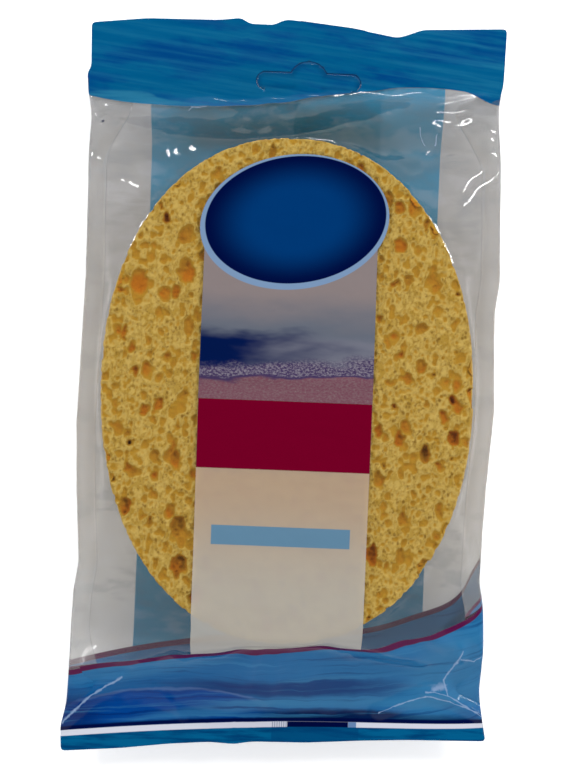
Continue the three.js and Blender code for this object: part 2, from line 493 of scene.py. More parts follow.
inks = {
    "clear": tone(120, 118, 114),
    # grey of the shadow under the bag: painted shade on the back and side film, darker towards the head
    "shadowGrey": tone(171, 170, 168),
    "shadowGreyHead": tone(123, 122, 123),
    "head": tone(0, 76, 118),
    "headDeep": tone(0, 58, 112),
    "headPale": tone(30, 106, 138),
    "headVeil": tone(34, 102, 134),
    # painted shadow of the slot's cut
    "slotShade": tone(0, 30, 74),
    "wave": tone(4, 78, 132),
    "waveMid": tone(0, 54, 124),
    "waveDeep": tone(0, 30, 88),
    "wavePale": tone(46, 108, 150),
    "waveEdge": tone(0, 8, 54),
    "crest": tone(118, 140, 172),
    # painted highlights along the sharp folds
    "creaseHighlight": tone(128, 150, 182),
    "line": tone(74, 6, 56),
    # painted shade of the film's wrinkles
    "wrinkleShading": tone(70, 84, 94),
    "backPanel": tone(44, 118, 153),
    "sky": tone(118, 108, 108),
    "skyLow": tone(84, 90, 102),
    "sea": tone(2, 18, 62),
    "seaPale": tone(98, 100, 112),
    "foam": tone(112, 106, 118),
    "foamDeep": tone(56, 44, 76),
    "sand": tone(100, 62, 74),
    "title": tone(98, 0, 30),
    "cream": tone(171, 167, 159),
    "creamWarm": tone(170, 149, 129),
    "stripe": tone(84, 118, 142),
    "badge": tone(0, 46, 98),
    "badgeDeep": tone(0, 8, 52),
    "badgeRim": tone(104, 128, 158),
    "white": tone(190, 192, 204),
    "markGrey": tone(138, 146, 164),
    "markPale": tone(92, 120, 160),
    "strip": tone(2, 82, 124),
    "stripDeep": tone(0, 56, 100),
}
# how much of the light each print stops
covers = {
    "clear": 0.03,
    "backShadowCover": 0.72,
    "sideShadowCover": 0.18,
    "panel": 0.95,
    "wave": 0.97,
    "label": 0.7,
    "stripe": 0.95,
    "vent": 0.9,
}
# soft-edged lenses of ink in the wave, each over those before it
swells = [
    {"at": (-42, -91.0), "half": (24, 2.6), "turn": 8, "ink": "wavePale", "cover": 0.5, "soft": 0.5},
    {"at": (8, -93.5), "half": (36, 2.6), "turn": 2, "ink": "waveDeep", "cover": 0.75, "soft": 0.45},
    {"at": (-30, -102.5), "half": (31, 6.6), "turn": 4, "ink": "waveMid", "cover": 0.9, "soft": 0.12},
    {"at": (-12, -101.5), "half": (26, 1.9), "turn": 9, "ink": "wavePale", "cover": 0.6, "soft": 0.6},
    {"at": (30, -97.2), "half": (36, 2.0), "turn": 3, "ink": "wavePale", "cover": 0.7, "soft": 0.6},
    {"at": (38, -103.0), "half": (36, 3.0), "turn": -1, "ink": "waveEdge", "cover": 0.9, "soft": 0.3},
    {"at": (-62, -107.0), "half": (13, 8.0), "turn": 20, "ink": "waveDeep", "cover": 0.8, "soft": 0.5},
    {"at": (59, -88.0), "half": (16, 10.0), "turn": 50, "ink": "wavePale", "cover": 0.75, "soft": 0.5},
]
# sharp folds in the front film: the places that each runs through, its height and its width, and
# how wide a painted highlight runs along it
creases = [
    {
        "path": [(-65.5, -107.2), (-61.6, -103.4), (-56.5, -98.6), (-47.5, -92.7)],
        "height": 1.6, "width": 3.0, "pale": 0.75,
    },
    {"path": [(-38.5, -95.2), (-34.0, -98.6), (-28.0, -104.0)], "height": 0.7, "width": 2.5, "pale": 0},
    {
        "path": [(53.1, -94.1), (51.6, -89.5), (55.3, -83.5), (56.7, -79.7)],
        "height": 1.4, "width": 3.0, "pale": 0.6,
    },
    {"path": [(56.4, -82.2), (60.3, -83.0), (63.8, -80.4)], "height": 0.7, "width": 2.0, "pale": 0.45},
    {
        "path": [(32.1, -100.5), (39.7, -96.8), (46.3, -94.9), (54.0, -96.3), (64.8, -100.1)],
        "height": 1.1, "width": 3.0, "pale": 0.45,
    },
    {"path": [(46.3, -93.6), (53.1, -94.1), (64.0, -100.6)], "height": 0.9, "width": 2.5, "pale": 0.5},
    # a short fold whose wide pale mark is a painted glint
    {"path": [(48.8, -92.9), (51.4, -91.6)], "height": 0.3, "width": 2.5, "pale": 2.2},
    {"path": [(-33.3, 82.4), (-32.4, 83.8), (-28.2, 83.4)], "height": 0.6, "width": 2.0, "pale": 0.4},
    {"path": [(-31.4, 84.3), (-17.6, 82.7), (-5.2, 77.1)], "height": 0.6, "width": 2.5, "pale": 0},
    {"path": [(-45.0, 79.2), (-23.6, 78.8), (-3.6, 75.9)], "height": 0.6, "width": 2.5, "pale": 0},
    {
        "path": [(40.7, 87.3), (47.4, 87.9), (52.1, 88.9), (57.5, 90.0)],
        "height": 0.7, "width": 2.0, "pale": 0,
    },
    {"path": [(44.0, 83.9), (47.1, 82.7), (52.3, 84.2)], "height": 0.7, "width": 2.0, "pale": 0},
    {"path": [(38.4, 81.1), (40.4, 76.2), (41.7, 74.4)], "height": 0.7, "width": 2.0, "pale": 0.3},
    {"path": [(44.1, 79.7), (43.5, 76.1), (42.2, 74.3)], "height": 0.7, "width": 2.0, "pale": 0.3},
]


def alongLine(tree, across, points):
    # the height of a line through a few points, at each place across
    low, high = min(p[1] for p in points) - 1, max(p[1] for p in points) + 1
    left, right = points[0][0], points[-1][0]
    share = over(tree, minus(tree, across, left), right - left)
    made = node(tree, "ShaderNodeFloatCurve", None, {"Factor": 1.0, "Value": share})
    curve = made.mapping.curves[0]
    for index, (x, y) in enumerate(points):
        spot = ((x - left) / (right - left), (y - low) / (high - low))
        if index in (0, len(points) - 1):
            curve.points[min(index, 1)].location = spot
        else:
            curve.points.new(*spot)
    made.mapping.update()
    return plus(tree, times(tree, made.outputs[0], high - low), low)


def above(tree, value, edge, soft=0.12):
    # 1 where value is past the edge
    return ramp(tree, minus(tree, value, edge), -soft, soft)


def between(tree, value, low, high, soft=0.12):
    return times(tree, above(tree, value, low, soft), above(tree, high, value, soft))


def combined(tree, x, y, z=0.0):
    return node(tree, "ShaderNodeCombineXYZ", None, {0: x, 1: y, 2: z}).outputs[0]


class Print:
    # what is printed on a panel: each layer covers those before it
    def __init__(self, tree, colour, cover):
        self.tree, self.colour, self.cover = tree, colour, cover

    def layer(self, mask, colour, cover=1.0):
        self.colour = mixColours(self.tree, mask, self.colour, colour)
        mixed = node(self.tree, "ShaderNodeMix", {"data_type": "FLOAT"}, {0: mask})
        feed(self.tree, mixed.inputs[2], self.cover)
        feed(self.tree, mixed.inputs[3], cover)
        self.cover = mixed.outputs[0]


def scaled(tree, across, along, byAcross, byAlong, depth=0.0):
    return combined(tree, times(tree, across, byAcross), times(tree, along, byAlong), depth)


# how fast each kind of streak changes across and along the bag, to a millimetre, and its seed
streaks = {
    "headFine": (0.02, 0.5, 2.0),
    "headDeep": (0.026, 0.09, 9.0),
    "headVeil": (0.05, 0.6, 8.0),
    "waveFine": (0.014, 0.5, 5.0),
    "waveSway": (0.03, 0.08, 21.0),
    "strip": (0.06, 0.5, 4.0),
    "wrinkleShadingPattern": (0.05, 0.11, 12.0),
}


def brushed(tree, across, along, kind):
    # long soft streaks that run across the bag
    return noise(tree, scaled(tree, across, along, *streaks[kind]), 1.0, 4.0, 0.62)


def headInk(tree, across, along):
    slant = plus(tree, along, times(tree, across, 0.12))
    streak = ramp(tree, brushed(tree, across, slant, "headFine"), 0.36, 0.74)
    deep = ramp(tree, brushed(tree, across, slant, "headDeep"), 0.44, 0.6)
    colour = mixColours(tree, deep, inks["head"], inks["headDeep"])
    side = ramp(tree, across, 10.0, 60.0, 0.34, 0.6)
    return mixColours(tree, times(tree, streak, side), colour, inks["headPale"])


def turnedAbout(tree, across, along, middle, degrees):
    # places as seen from a point and turned with a shape
    x = minus(tree, across, middle[0])
    y = minus(tree, along, middle[1])
    cosine, sine = math.cos(math.radians(degrees)), math.sin(math.radians(degrees))
    turnedX = plus(tree, times(tree, x, cosine), times(tree, y, sine))
    turnedY = minus(tree, times(tree, y, cosine), times(tree, x, sine))
    return turnedX, turnedY


def waveInk(tree, across, along, line):
    # deeper below the line, darker to the left, in long swells and fine streaks that follow it
    below = minus(tree, line, along)
    bent = minus(tree, along, times(tree, line, 0.5))
    warp = brushed(tree, across, along, "waveSway")
    swayed = plus(tree, bent, times(tree, warp, 4.5))
    streak = brushed(tree, across, swayed, "waveFine")
    side = ramp(tree, across, -70.0, 66.0)
    colour = mixColours(tree, ramp(tree, below, 6.0, 26.0), inks["wave"], inks["waveMid"])
    colour = mixColours(tree, times(tree, side, 0.55), colour, inks["wavePale"])
    swayX = plus(tree, across, times(tree, warp, 10.0))
    swayY = plus(tree, along, times(tree, minus(tree, warp, 0.5), 5.0))
    for swell in swells:
        x, y = turnedAbout(tree, swayX, swayY, swell["at"], swell["turn"])
        halfX, halfY = swell["half"]
        reach = vectorCalc(tree, "LENGTH", combined(tree, over(tree, x, halfX), over(tree, y, halfY)))
        mask = ramp(tree, reach, 1 + swell["soft"], 1 - swell["soft"], 0.0, swell["cover"])
        colour = mixColours(tree, mask, colour, inks[swell["ink"]])
        if swell["soft"] < 0.2:
            # the crest of a sharp swell catches a thin pale line
            crest = times(tree, between(tree, reach, 0.96, 1.05, 0.04), above(tree, y, 0.0, 2.0))
            colour = mixColours(tree, times(tree, crest, 0.22), colour, inks["crest"])
    pale = ramp(tree, streak, 0.5, 0.66, 0.0, 0.6)
    colour = mixColours(tree, pale, colour, inks["wavePale"])
    dark = ramp(tree, streak, 0.48, 0.34, 0.0, 0.6)
    return mixColours(tree, dark, colour, inks["waveDeep"])


def seaPicture(tree, across, along):
    form = printForm
    swell = noise(tree, scaled(tree, across, along, 0.05, 0.16, 3.0), 1.0, 3.0)
    lift = times(tree, minus(tree, swell, 0.5), 9.0)
    place = plus(tree, along, lift)
    tilt = times(tree, across, 0.06)
    haze = ramp(tree, place, form["horizon"] + 16, form["horizon"])
    colour = mixColours(tree, haze, inks["sky"], inks["skyLow"])
    paling = ramp(tree, plus(tree, across, times(tree, lift, 6.0)), -18.0, 24.0)
    sea = mixColours(tree, paling, inks["sea"], inks["seaPale"])
    colour = mixColours(tree, ramp(tree, place, form["horizon"] + 2.5, form["horizon"] - 1.5), colour, sea)
    specks = noise(tree, combined(tree, across, times(tree, along, 1.5), 7.0), 1.4, 4.0, 0.7)
    foam = mixColours(tree, ramp(tree, specks, 0.42, 0.62), inks["foamDeep"], inks["foam"])
    shore = minus(tree, place, tilt)
    colour = mixColours(tree, ramp(tree, shore, form["foamTop"] + 1.5, form["foamTop"] - 1.5), colour, foam)
    wetEdge = ramp(tree, shore, form["sandTop"] + 0.5, form["sandTop"] - 0.4)
    colour = mixColours(tree, wetEdge, colour, inks["foamDeep"])
    sandy = mixColours(tree, ramp(tree, specks, 0.35, 0.95), inks["sand"], inks["sky"])
    return mixColours(tree, ramp(tree, shore, form["sandTop"] - 0.3, form["sandTop"] - 1.4), colour, sandy)


def filmPlace(tree):
    place = node(tree, "ShaderNodeAttribute", {"attribute_name": "filmPlace"}).outputs["Vector"]
    split = node(tree, "ShaderNodeSeparateXYZ", None, {0: place})
    return split.outputs[0], split.outputs[1]


def footStrips(tree, sheet, across, along):
    form = printForm
    top = alongLine(tree, across, form["stripTop"])
    bottom = alongLine(tree, across, form["stripBottom"])
    edge = between(tree, along, top, plus(tree, top, 1.3), 0.4)
    sheet.layer(edge, inks["waveEdge"])
    inStrip = above(tree, top, along)
    sheet.layer(inStrip, inks["white"])
    hatch = ramp(tree, calc(tree, "SINE", times(tree, across, 9.0)), -0.5, 0.5)
    hatched = mixColours(tree, hatch, inks["white"], inks["markGrey"])
    sheet.layer(times(tree, inStrip, between(tree, across, *form["markLeft"])), hatched)
    sheet.layer(times(tree, inStrip, between(tree, across, *form["markRight"])), inks["markPale"])
    sheet.layer(times(tree, inStrip, between(tree, across, *form["mark"])), inks["waveEdge"])
    streak = brushed(tree, across, along, "strip")
    blue = mixColours(tree, ramp(tree, streak, 0.4, 0.65), inks["strip"], inks["stripDeep"])
    seam = between(tree, across, *form["seam"])
    blue = mixColours(tree, times(tree, seam, 0.6), blue, inks["stripDeep"])
    sheet.layer(above(tree, bottom, along), blue)


# where and how strongly painted highlights run along the film's sharp folds
creaseHighlightForm = {
    "wobble": 2.0,  # how far the pale line strays from the fold
    "wobbles": 0.16,  # to a millimetre
    "patches": 0.4,
    "least": 0.35,  # of the line's width
    "cover": 0.8,
}


def creasesBetween(low, high):
    return [crease for crease in creases if crease["pale"] and low < crease["path"][0][1] < high]


def creaseHighlights(tree, sheet, across, along, chosen):
    # a painted highlight along a sharp fold, more in some places than in others
    form = creaseHighlightForm
    bent = wobbled(tree, combined(tree, across, along), form["wobbles"], form["wobble"])
    place = vectorCalc(tree, "MULTIPLY", bent, (1.0, 1.0, 0.0))
    wear = noise(tree, place, form["patches"], 3.0, 0.6)
    for crease in chosen:
        width = ramp(tree, wear, 0.34, 0.66, form["least"] * crease["pale"], crease["pale"])
        for start, end in zip(crease["path"], crease["path"][1:]):
            run = Vector(end) - Vector(start)
            fromStart = vectorCalc(tree, "SUBTRACT", place, (*start, 0.0))
            reach = vectorCalc(tree, "DOT_PRODUCT", fromStart, (*run, 0.0))
            share = over(tree, reach, run.length_squared)
            share = calc(tree, "MINIMUM", calc(tree, "MAXIMUM", share, 0.0), 1.0)
            nearest = vectorCalc(tree, "MULTIPLY", combined(tree, share, share), (*run, 0.0))
            away = vectorCalc(tree, "LENGTH", vectorCalc(tree, "SUBTRACT", fromStart, nearest))
            sheet.layer(ramp(tree, away, width, 0.0, 0.0, form["cover"]), inks["creaseHighlight"])


filmFinish = {
    "inkRoughness": 0.38,
    "shineRoughness": 0.08,
    "edgeShine": 0.5,  # how much the film mirrors where it is seen edge-on
    "edgePower": 4.0,
    # and where it faces the eye: clear film mirrors from both its faces, printed film from one
    "clearShine": 0.028,
    "inkedShine": 0.012,
    "slack": 0.1,  # slack waves to a millimetre
    "relief": 1.2 * mm,
    "ribTurn": 3.6,  # how fast the weld's ribs follow each other, in radians to a millimetre
    "ribShare": 0.02,  # their height beside the slack waves'
}


def filmSurface(tree, sheet, bump=None):
    finish = filmFinish
    inputs = {"Base Color": sheet.colour, "Roughness": finish["inkRoughness"]}
    ink = node(tree, "ShaderNodeBsdfPrincipled", None, inputs)
    ink.inputs["Specular IOR Level"].default_value = 0.0
    clear = node(tree, "ShaderNodeBsdfTransparent")
    body = node(tree, "ShaderNodeMixShader", None, {0: sheet.cover, 1: clear.outputs[0], 2: ink.outputs[0]})
    facing = node(tree, "ShaderNodeLayerWeight", None, {"Blend": 0.5})
    shine = node(tree, "ShaderNodeBsdfGlossy", None, {"Roughness": finish["shineRoughness"]})
    for shader in (ink, facing, shine):
        if bump is not None:
            feed(tree, shader.inputs["Normal"], bump)
    edgeOn = calc(tree, "POWER", facing.outputs["Facing"], finish["edgePower"])
    inkedLoss = finish["clearShine"] - finish["inkedShine"]
    fromFaces = minus(tree, finish["clearShine"], times(tree, sheet.cover, inkedLoss))
    share = plus(tree, times(tree, edgeOn, finish["edgeShine"]), fromFaces)
    surface = node(tree, "ShaderNodeMixShader", None, {0: share, 1: body.outputs[0], 2: shine.outputs[0]})
    node(tree, "ShaderNodeOutputMaterial", None, {"Surface": surface.outputs[0]})


def filmBump(tree, across, along):
    # slack waves all over, and the weld bars' faint ribs in the header
    finish = filmFinish
    crinkle = noise(tree, combined(tree, across, along), finish["slack"], 2.0, 0.5)
    ribs = calc(tree, "SINE", times(tree, across, finish["ribTurn"]))
    inWeld = times(tree, above(tree, along, 90.0, 2.0), between(tree, across, 18.0, 42.0, 6.0))
    ribs = times(tree, ribs, inWeld)
    height = plus(tree, crinkle, times(tree, ribs, finish["ribShare"]))
    inputs = {"Strength": 0.5, "Distance": finish["relief"], "Height": height}
    made = node(tree, "ShaderNodeBump", None, inputs)
    return made.outputs[0]


def headPrint(tree, sheet, across, along):
    # a paler swell of ink lies along part of its lower edge
    printed = above(tree, along, alongLine(tree, across, printForm["headLine"]))
    inSwell = above(tree, alongLine(tree, across, printForm["headSwell"]), along, 0.5)
    streak = ramp(tree, brushed(tree, across, along, "headVeil"), 0.3, 0.6, 0.3, 0.9)
    ink = mixColours(tree, times(tree, inSwell, streak), headInk(tree, across, along), inks["headVeil"])
    sheet.layer(printed, ink)


def slotShadow(tree, sheet, across, along):
    # painted shadow along the die-cut line, and painted shade inside the flap, darkest next to the line
    form = slotForm
    endRound = form["armHeight"] / 2
    sideways = calc(tree, "ABSOLUTE", minus(tree, across, form["middle"]))
    pastArm = calc(tree, "MAXIMUM", minus(tree, sideways, form["reach"]), 0.0)
    upArm = minus(tree, along, form["armBottom"] + endRound)
    toArms = minus(tree, vectorCalc(tree, "LENGTH", combined(tree, pastArm, upArm)), endRound)
    bumpMiddle = form["armBottom"] + form["armHeight"] + form["bumpRise"] - form["bumpRadius"]
    upBump = minus(tree, along, bumpMiddle)
    toBump = vectorCalc(tree, "LENGTH", combined(tree, sideways, upBump))
    toLine = calc(tree, "MINIMUM", toArms, minus(tree, toBump, form["bumpRadius"]))
    aboveHinge = above(tree, along, form["armBottom"] + 0.6, 0.6)
    edge = ramp(tree, calc(tree, "ABSOLUTE", toLine), 0.42, 0.05, 0.0, 0.7)
    inner = times(tree, ramp(tree, toLine, -2.4, 0.0, 0.0, 0.4), above(tree, 0.0, toLine))
    sheet.layer(times(tree, calc(tree, "MAXIMUM", edge, inner), aboveHinge), inks["slotShade"])


def wavePrint(tree, sheet, across, along, line):
    edge = alongLine(tree, across, line)
    half = printForm["lineWidth"] / 2
    sheet.layer(above(tree, edge, minus(tree, along, half)), inks["line"], covers["wave"])
    inWave = above(tree, edge, plus(tree, along, half))
    sheet.layer(inWave, waveInk(tree, across, along, edge), covers["wave"])
    footStrips(tree, sheet, across, along)


def labelPrint(tree, sheet, across, along):
    form = printForm
    inLabel = between(tree, across, *form["label"])
    cream = mixColours(tree, ramp(tree, along, -66.0, -28.0), inks["cream"], inks["creamWarm"])
    sheet.layer(times(tree, inLabel, above(tree, form["titleBottom"], along)), cream, covers["label"])
    return inLabel


def ventHoleShade(tree, sheet, across, along):
    # the vent hole is not cut: a small disc of painted shade stands for it
    ventX, ventY, ventRadius = printForm["vent"]
    x, y = turnedAbout(tree, across, along, (ventX, ventY), 0)
    toVent = vectorCalc(tree, "LENGTH", combined(tree, x, y))
    sheet.layer(above(tree, ventRadius, toVent, 0.1), inks["waveEdge"], covers["vent"])


def frontFilm(zone):
    form = printForm
    material, tree = emptyMaterial("frontFilm_" + zone)
    across, along = filmPlace(tree)
    sheet = Print(tree, inks["clear"], covers["clear"])
    if zone == "label":
        inLabel = labelPrint(tree, sheet, across, along)
        stripeAcross = between(tree, across, *form["stripeAcross"])
        stripeAlong = between(tree, along, *form["stripeAlong"])
        sheet.layer(times(tree, stripeAcross, stripeAlong), inks["stripe"], covers["stripe"])
        inTitle = times(tree, inLabel, between(tree, along, form["titleBottom"], form["titleTop"]))
        sheet.layer(inTitle, inks["title"])
        inPicture = times(tree, inLabel, between(tree, along, form["titleTop"], form["pictureTop"]))
        sheet.layer(inPicture, seaPicture(tree, across, along))
        badge(tree, sheet, across, along)
    if zone == "foot":
        labelPrint(tree, sheet, across, along)
        wavePrint(tree, sheet, across, along, form["frontWave"])
        creaseHighlights(tree, sheet, across, along, creasesBetween(-far, 0))
    if zone == "head":
        headPrint(tree, sheet, across, along)
        slotShadow(tree, sheet, across, along)
        ventHoleShade(tree, sheet, across, along)
        creaseHighlights(tree, sheet, across, along, creasesBetween(0, far))
    filmSurface(tree, sheet, filmBump(tree, across, along))
    return material


def badge(tree, sheet, across, along):
    form = printForm
    halfX, halfY = form["badgeHalf"]
    turnedX, turnedY = turnedAbout(tree, across, along, form["badgeMiddle"], form["badgeTurn"])

    def oval(shrink, shiftX, shiftY):
        atX = over(tree, minus(tree, turnedX, shiftX), halfX - shrink)
        atY = over(tree, minus(tree, turnedY, shiftY), halfY - shrink)
        reach = vectorCalc(tree, "LENGTH", combined(tree, atX, atY))
        return times(tree, minus(tree, 1.0, reach), halfY), reach

    outer, _ = oval(0.0, 0.0, 0.0)
    inner, reach = oval(1.2, 0.4, 0.6)
    sheet.layer(above(tree, outer, 0.0), inks["badgeRim"])
    fill = mixColours(tree, ramp(tree, reach, 0.45, 1.0), inks["badge"], inks["badgeDeep"])
    sheet.layer(above(tree, inner, 0.0), fill)


def shadowGreyInk(tree, along):
    # painted shadow under the bag, seen through the clear back and side film; darker towards the head
    return mixColours(tree, ramp(tree, along, -60.0, 90.0), inks["shadowGrey"], inks["shadowGreyHead"])


def wrinkleShading(tree, across, along, colour):
    # painted light and shade of the slack film's wrinkles, as lighter and darker patches
    patch = ramp(tree, brushed(tree, across, along, "wrinkleShadingPattern"), 0.34, 0.66, -0.12, 0.12)
    lighter = ramp(tree, patch, 0.0, 0.12, 0.0, 0.14)
    darker = ramp(tree, patch, 0.0, -0.12, 0.0, 0.3)
    colour = mixColours(tree, lighter, colour, inks["white"])
    return mixColours(tree, darker, colour, inks["wrinkleShading"])


def backFilm(zone):
    form = printForm
    material, tree = emptyMaterial("backFilm_" + zone)
    across, along = filmPlace(tree)
    sheet = Print(tree, shadowGreyInk(tree, along), covers["backShadowCover"])
    inPanel = between(tree, across, -form["backPanelHalf"], form["backPanelHalf"])
    sheet.layer(inPanel, inks["backPanel"], covers["panel"])
    # painted light and shade of wrinkles
    sheet.colour = wrinkleShading(tree, across, along, sheet.colour)
    if zone == "foot":
        wavePrint(tree, sheet, across, along, form["backWave"])
    if zone == "head":
        line = alongLine(tree, across, form["backHeadLine"])
        # painted light: the back's header is the header ink mixed paler, against the shade it lies in under
        # the front film
        pale = mixColours(tree, 0.6, headInk(tree, across, along), inks["headVeil"])
        sheet.layer(above(tree, along, line), pale)
    filmSurface(tree, sheet)
    return material


def sideFilm(zone):
    form = printForm
    material, tree = emptyMaterial("sideFilm_" + zone)
    across, along = filmPlace(tree)
    sheet = Print(tree, shadowGreyInk(tree, along), covers["sideShadowCover"])
    if zone == "foot":
        wavePrint(tree, sheet, across, along, form["frontWave"])
    if zone == "head":
        sheet.layer(above(tree, along, form["sideHead"]), headInk(tree, across, along))
    filmSurface(tree, sheet)
    return material


# Each panel of the bag is printed in zones, and each zone's material holds only its own print.
# A zone is (name, lowest place along, highest place along, half its width).
filmZones = {
    "front": [
        ("foot", -far, -56, far),
        ("head", 76, far, far),
        ("label", -far, far, 30),
        ("clear", -far, far, far),
    ],
    "back": [("foot", -far, -40, far), ("head", 76, far, far), ("clear", -far, far, far)],
    "side": [("foot", -far, -56, far), ("head", 84, far, far), ("clear", -far, far, far)],
}


def cutEdgeShade():
    # the slot's upright cut walls are dark matte: painted shade in the cut
    material, tree = emptyMaterial("cutFilmEdgeShade")
    matteSurface(tree, {"Base Color": inks["slotShade"], "Roughness": 0.7}, 0.0)
    return material


def slotEdges(bag):
    # the upright faces that the slot's cutter left in the header
    form = slotForm
    reach = form["reach"] + form["armHeight"]
    found = []
    for face in bag.data.polygons:
        x, y = face.center.x / mm - form["middle"], face.center.y / mm
        if abs(face.normal.z) < 0.7 and abs(x) < reach and form["armBottom"] - 0.5 < y < form["top"]:
            found.append(face)
    return found


def printFilm(bag):
    makers = {"front": frontFilm, "back": backFilm, "side": sideFilm}
    places = numbersOf(bag, "filmPlace")
    panels = [face.material_index for face in bag.data.polygons]
    chosen = np.zeros(len(panels), dtype=int)
    for panel, (name, zones) in enumerate(filmZones.items()):
        first = len(bag.data.materials)
        for zone in zones:
            bag.data.materials.append(makers[name](zone[0]))
        for index, face in enumerate(bag.data.polygons):
            if panels[index] != panel:
                continue
            x, y, _ = places[list(face.vertices)].mean(axis=0)
            for step, (_, low, high, half) in enumerate(zones):
                if low < y < high and abs(x) < half:
                    chosen[index] = first + step
                    break
    bag.data.materials.append(cutEdgeShade())
    for face in slotEdges(bag):
        chosen[face.index] = len(bag.data.materials) - 1
    bag.data.polygons.foreach_set("material_index", chosen)


# Millimetres. Each side's outline is (place along the bag, distance from its middle line).
bagForm = {
    # for each axis, how many parts its edges are cut into, and each of those in turn
    "cuts": ((0, (8, 8)), (1, (37, 3)), (2, (8,))),
    "halfLength": 111.0,
    "footHalfWidth": 66,
    "headHalfWidth": 64,
    "leftSide": [
        (-116, 65.6), (-108, 66.0), (-97, 65.0), (-84, 64.0), (-67, 63.4), (-58, 62.1), (-35, 63.6),
        (-15, 64.4), (32, 63.3), (60, 63.7), (80, 64.1), (87, 65.6), (93, 65.5), (95, 64.0), (111, 64.5),
    ],
    "rightSide": [
        (-116, 65.7), (-104, 65.3), (-92, 63.6), (-80, 63.6), (-68, 63.0), (-60, 61.5), (-42, 61.9),
        (-30, 62.4), (-6, 64.0), (14, 63.2), (24, 63.0), (34, 64.2), (55, 63.6), (86, 62.9), (92, 63.0),
        (111, 63.5),
    ],
    "headEdge": [
        (-65, 108.6), (-47, 110.6), (-25, 110.9), (-18, 111.8), (-16, 110.1), (-8, 110.0), (-5, 111.9),
        (16, 109.8), (30.5, 107.4), (38, 110.2), (64, 111.4),
    ],
    "footEdge": [
        (-66, -116.2), (-47, -114.6), (-33, -112.8), (-20, -111.7), (-12, -112.1), (-7, -111.1),
        (10, -110.8), (28, -109.5), (42, -108.8), (66, -108.3),
    ],
    "headWeld": [
        (-66, 87.0), (-37, 85.2), (-13, 86.2), (8, 89.4), (22, 91.2), (38, 92.4), (50, 91.2), (66, 86.0),
    ],
    "footWeld": -101.0,
    "footSkew": (-100, -62),  # the foot's uneven edge pulls the film along; between these it fades
    "headSkew": (97, 111),
    "headOpens": 66,  # from the welds to these places the bag comes fully open
    "footOpens": -76,
    "backLeavesHead": 72.5,  # where the back lifts off the surface, past the sponge's ends
    "backLeavesFoot": -79,
    "tuckAtFoot": (-108, -100),  # between these the side folds come in
    "tuckAtHead": (86, 94),
    "headSlack": 14.0,  # how long the front takes to fall to each weld
    "footSlack": 24.0,
    "footFollow": 0.9,  # how far the foot's weld follows its uneven edge
    "sideFolds": (0.86, 1.0),  # the share of the width where the film turns to its long folds
    "edgeReach": 4.0,  # how far inside the sponge's edge the front starts to fall
    "edgeDrop": 0.55,
    "backRun": 12,  # how far outside the sponge's edge the back has risen
    "headHeight": 16.2,
    "seamThickness": 0.12,
    "footHeight": 14.0,
    "backHeight": 0.3,
    "weldGap": 0.3,
    "frontCrease": 23.0,  # height of the front's long folds beside the sponge
    "backCrease": 4.0,
    "backSpread": 0.027,  # how much wider the bag is at its back folds than at its front ones
    "gussetTuck": 7.0,  # how far the side folds reach in beside the sponge
    "endTuck": 16.0,  # and at the welds
    "spongeGap": 0.5,
}


def smoothStep(low, high, value):
    share = np.clip((value - low) / (high - low), 0, 1)
    return share * share * (3 - 2 * share)


def through(points, value):
    return np.interp(value, [p[0] for p in points], [p[1] for p in points])


def gridCube():
    # a cube cut into even rows each way, so that its faces are the bag's panels
    deselectAll()
    bpy.ops.mesh.primitive_cube_add(size=2, location=(0, 0, 0))
    bag = bpy.context.object
    bpy.ops.object.mode_set(mode="EDIT")
    for axis, counts in bagForm["cuts"]:
        for count in counts:
            bpy.ops.mesh.select_all(action="DESELECT")
            mesh = bmesh.from_edit_mesh(bag.data)
            for edge in mesh.edges:
                run = edge.verts[1].co - edge.verts[0].co
                edge.select = abs(run[axis]) > 1e-6
            bmesh.update_edit_mesh(bag.data)
            bpy.ops.mesh.subdivide(number_cuts=count - 1)
    bpy.ops.object.mode_set(mode="OBJECT")
    # front, back, and the side and end faces each take their own print
    for face in bag.data.polygons:
        if abs(face.normal.z) > 0.5:
            face.material_index = 0 if face.normal.z > 0 else 1
        else:
            face.material_index = 2
    return bag


def overSponge(x, y):
    # distance outside the sponge's outline, negative inside
    turn = math.radians(spongeForm["turn"])
    middleX, middleY = spongeMiddle.x / mm, spongeMiddle.y / mm
    across = (x - middleX) * math.cos(turn) + (y - middleY) * math.sin(turn)
    along = -(x - middleX) * math.sin(turn) + (y - middleY) * math.cos(turn)
    halfWidth, halfLength = spongeForm["halfWidth"], spongeForm["halfLength"]
    power = spongeForm["fullness"]
    size = (np.abs(across / halfWidth) ** power + np.abs(along / halfLength) ** power) ** (1 / power)
    return (size - 1) * spongeForm["meanRadius"]


def flatPlaces(a, b):
    # where each point of the bag lies when it is flat, and where the foot's weld ends there
    form = bagForm
    flatY = b * form["halfLength"]
    footPull = through(form["footEdge"], a * form["footHalfWidth"]) + form["halfLength"]
    headPull = through(form["headEdge"], a * form["headHalfWidth"]) - form["halfLength"]
    y = flatY + footPull * (1 - smoothStep(*form["footSkew"], flatY))
    y = y + headPull * smoothStep(*form["headSkew"], flatY)
    half = np.where(a < 0, through(form["leftSide"], y), through(form["rightSide"], y))
    return a * half, y, form["footWeld"] + footPull * form["footFollow"]


